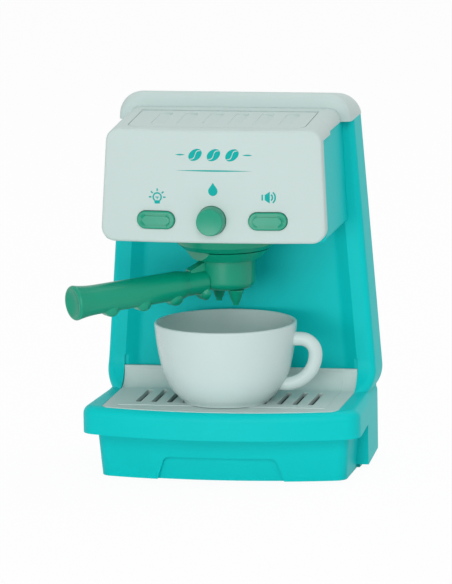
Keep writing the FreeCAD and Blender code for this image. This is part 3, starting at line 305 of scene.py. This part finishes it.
def bulbShapes(sign):
    x, z, line = sign["x"], sign["z"], sign["line"]
    shapes = curvedLine(x, z, sign["globe"], line, sign["globeFrom"], sign["globeTo"])
    wide, narrow = sign["capWide"] / 2, sign["capNarrow"] / 2
    shapes.append([(x - narrow, z - sign["capLow"]), (x + narrow, z - sign["capLow"]),
                   (x + wide, z - sign["capTop"]), (x - wide, z - sign["capTop"])])
    shapes += straightLine((x - sign["wire"] / 2, z), (x + sign["wire"] / 2, z), sign["thin"])
    shapes += straightLine((x, z - sign["thin"] / 2), (x, z - sign["stem"] - sign["thin"] / 2), sign["thin"])
    for angle in sign["rays"]:
        way = (math.cos(math.radians(angle)), math.sin(math.radians(angle)))
        ends = [(x + way[0] * r, z + way[1] * r) for r in (sign["rayIn"], sign["rayOut"])]
        shapes += straightLine(ends[0], ends[1], line)
    return shapes


def dropShapes(sign):
    # a round belly whose sides run straight up to the tip
    lean = math.degrees(math.acos(sign["r"] / sign["tip"]))
    belly = arcPoints(sign["x"], sign["z"], sign["r"], 90 + lean, 450 - lean)
    return [belly + [(sign["x"], sign["z"] + sign["tip"])]]


def soundShapes(sign):
    x, z, line = sign["x"], sign["z"], sign["line"]
    barX, barHalf = x + sign["barX"], sign["barHigh"] / 2
    shapes = coneShape(sign)
    shapes += straightLine((barX, z - barHalf), (barX, z + barHalf), line)
    for out, r in sign["waves"]:
        shapes += curvedLine(x + out - r, z, r, line, -sign["spread"], sign["spread"])
    return shapes


def beanHalves(x, z, sign, steps=20):
    # an oval cut along its length by an S-shaped split
    half, wide = sign["long"] / 2, sign["wide"] / 2
    turn = math.radians(sign["turn"])
    halves = []
    for side in (1, -1):
        shape = []
        for i in range(steps + 1):
            t = math.pi * i / steps
            shape.append((half * math.cos(t), side * wide * math.sin(t)))
        for i in range(1, steps):
            u = half * (2 * i / steps - 1)
            sway = sign["splitSway"] * wide * math.sin(math.pi * u / half)
            shape.append((u, sway + side * sign["split"] / 2))
        halves.append([(x + u * math.cos(turn) - v * math.sin(turn),
                        z + u * math.sin(turn) + v * math.cos(turn)) for u, v in shape])
    return halves


def beanShapes(sign):
    shapes = []
    for x in sign["xs"]:
        shapes += beanHalves(x, sign["z"], sign)
    shapes += taperedLine(sign["lineLeft"], sign["lineRight"], sign["lineZ"], sign["lineThick"])
    for left in (sign["lineLeft"], sign["lineRight"] - sign["sideLong"]):
        shapes += taperedLine(left, left + sign["sideLong"], sign["z"], sign["lineThick"])
    return shapes


panel = nodes["head_cover"].data
panelTree = BVHTree.FromPolygons([v.co for v in panel.vertices], [p.vertices for p in panel.polygons])
inward = Vector((0, 1, 0))


def onPanel(x, z):
    # the point of the panel at x and z, a hair in front of its face
    hit = panelTree.ray_cast(Vector((x * mm, signInk["rayStart"], z * mm)), inward)[0]
    return hit - inward * signInk["lift"]


def signedArea(shape):
    # twice the area, negative where the outline runs clockwise
    return sum(a[0] * b[1] - b[0] * a[1] for a, b in zip(shape, shape[1:] + shape[:1]))


def printSign(name, shapes):
    sheet = bmesh.new()
    for shape in shapes:
        if signedArea(shape) < 0:
            shape = shape[::-1]
        sheet.faces.new([sheet.verts.new(onPanel(x, z)) for x, z in shape])
    bmesh.ops.remove_doubles(sheet, verts=sheet.verts, dist=signInk["join"])
    bmesh.ops.triangulate(sheet, faces=sheet.faces)
    mesh = bpy.data.meshes.new(name)
    sheet.to_mesh(mesh)
    sheet.free()
    mesh.materials.append(finishes["printInk"])
    sign = bpy.data.objects.new(name, mesh)
    scene.collection.objects.link(sign)
    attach(sign, signInk["body"])


printSign("lightSign", bulbShapes(bulbSign))
printSign("waterSign", dropShapes(dropSign))
printSign("soundSign", soundShapes(soundSign))
printSign("beanSign", beanShapes(beanSign))
print("signs printed")


# Floor, light and camera

white = (1.0, 1.0, 1.0, 1.0)
floorLook = {"half": 3.0, "cloudScale": 3.0, "dark": srgb(240, 241, 241), "bright": srgb(247, 248, 248),
             "rough": 0.85, "glow": 0.95}
skyLook = {"light": 0.5, "seen": 1.0}


def seenDirectly(nodeSet):
    # 1 for rays from the camera, mirrors and glass, so that they see a white studio
    kinds = ("Is Camera Ray", "Is Glossy Ray", "Is Transmission Ray")
    camera, glossy, clear = [nodeSet.add("ShaderNodeLightPath", out=kind) for kind in kinds]
    return camera.larger(glossy).larger(clear)


def makeFloor():
    half = floorLook["half"]
    corners = [(-half, -half, 0), (half, -half, 0), (half, half, 0), (-half, half, 0)]
    mesh = bpy.data.meshes.new("floor")
    mesh.from_pydata(corners, [], [(0, 1, 2, 3)])
    floor = bpy.data.objects.new("floor", mesh)
    scene.collection.objects.link(floor)
    finish = Finish("paleFloor")
    cloud = finish.noise(floorLook["cloudScale"])
    finish.set(Base_Color=finish.blend(cloud, floorLook["dark"], floorLook["bright"]),
               Roughness=floorLook["rough"])
    glow = finish.add("ShaderNodeEmission", {}, {"Color": white, "Strength": 1.0})
    plain = Value(finish, finish.shader.outputs[0])
    share = seenDirectly(finish) * floorLook["glow"]
    shown = finish.add("ShaderNodeMixShader", {}, {0: share, 1: plain, 2: glow})
    finish.feed(finish.output.inputs["Surface"], shown)
    mesh.materials.append(finish.material)


def makeSky():
    world = bpy.data.worlds.new("studio")
    scene.world = world
    world.use_nodes = True
    sky = NodeSet(world.node_tree)
    background = world.node_tree.nodes["Background"]
    seen = seenDirectly(sky)
    sky.feed(background.inputs["Color"], white)
    sky.feed(background.inputs["Strength"], seen * skyLook["seen"] + (1 - seen) * skyLook["light"])


def makeLamp(name, at, aim, size, power):
    data = bpy.data.lights.new(name, "AREA")
    data.shape = "RECTANGLE"
    data.size, data.size_y = size
    data.energy = power
    lamp = bpy.data.objects.new(name, data)
    lamp.location = at
    lamp.rotation_euler = (Vector(aim) - Vector(at)).to_track_quat("-Z", "Y").to_euler()
    scene.collection.objects.link(lamp)


lamps = {
    "keyBox": {"at": (0.5, -1.9, 1.15), "aim": (0, 0, 0.12), "size": (0.9, 0.8), "power": 9},
    "frontBox": {"at": (-0.35, -2.1, 0.22), "aim": (0, 0, 0.12), "size": (1.0, 0.4), "power": 11},
    "topBox": {"at": (0.3, 0.5, 1.8), "aim": (0, 0, 0.15), "size": (1.4, 1.0), "power": 9},
}

cameraSet = {"at": (0.664, -3.449, 0.708), "aim": (-0.003, 0.0, 0.096), "roll": -0.92, "lens": 406.1,
             "sensor": 36}


def makeCamera():
    data = bpy.data.cameras.new("photoView")
    data.lens = cameraSet["lens"]
    data.sensor_width = cameraSet["sensor"]
    camera = bpy.data.objects.new("photoView", data)
    camera.location = cameraSet["at"]
    aimed = (Vector(cameraSet["aim"]) - camera.location).to_track_quat("-Z", "Y").to_matrix()
    rolled = Matrix.Rotation(math.radians(cameraSet["roll"]), 3, "Z")
    camera.rotation_mode = "QUATERNION"
    camera.rotation_quaternion = (aimed @ rolled).to_quaternion()
    scene.collection.objects.link(camera)
    scene.camera = camera


makeFloor()
makeSky()
for name, lamp in lamps.items():
    makeLamp(name, **lamp)
makeCamera()
scene.view_settings.view_transform = "Standard"
print("studio set")
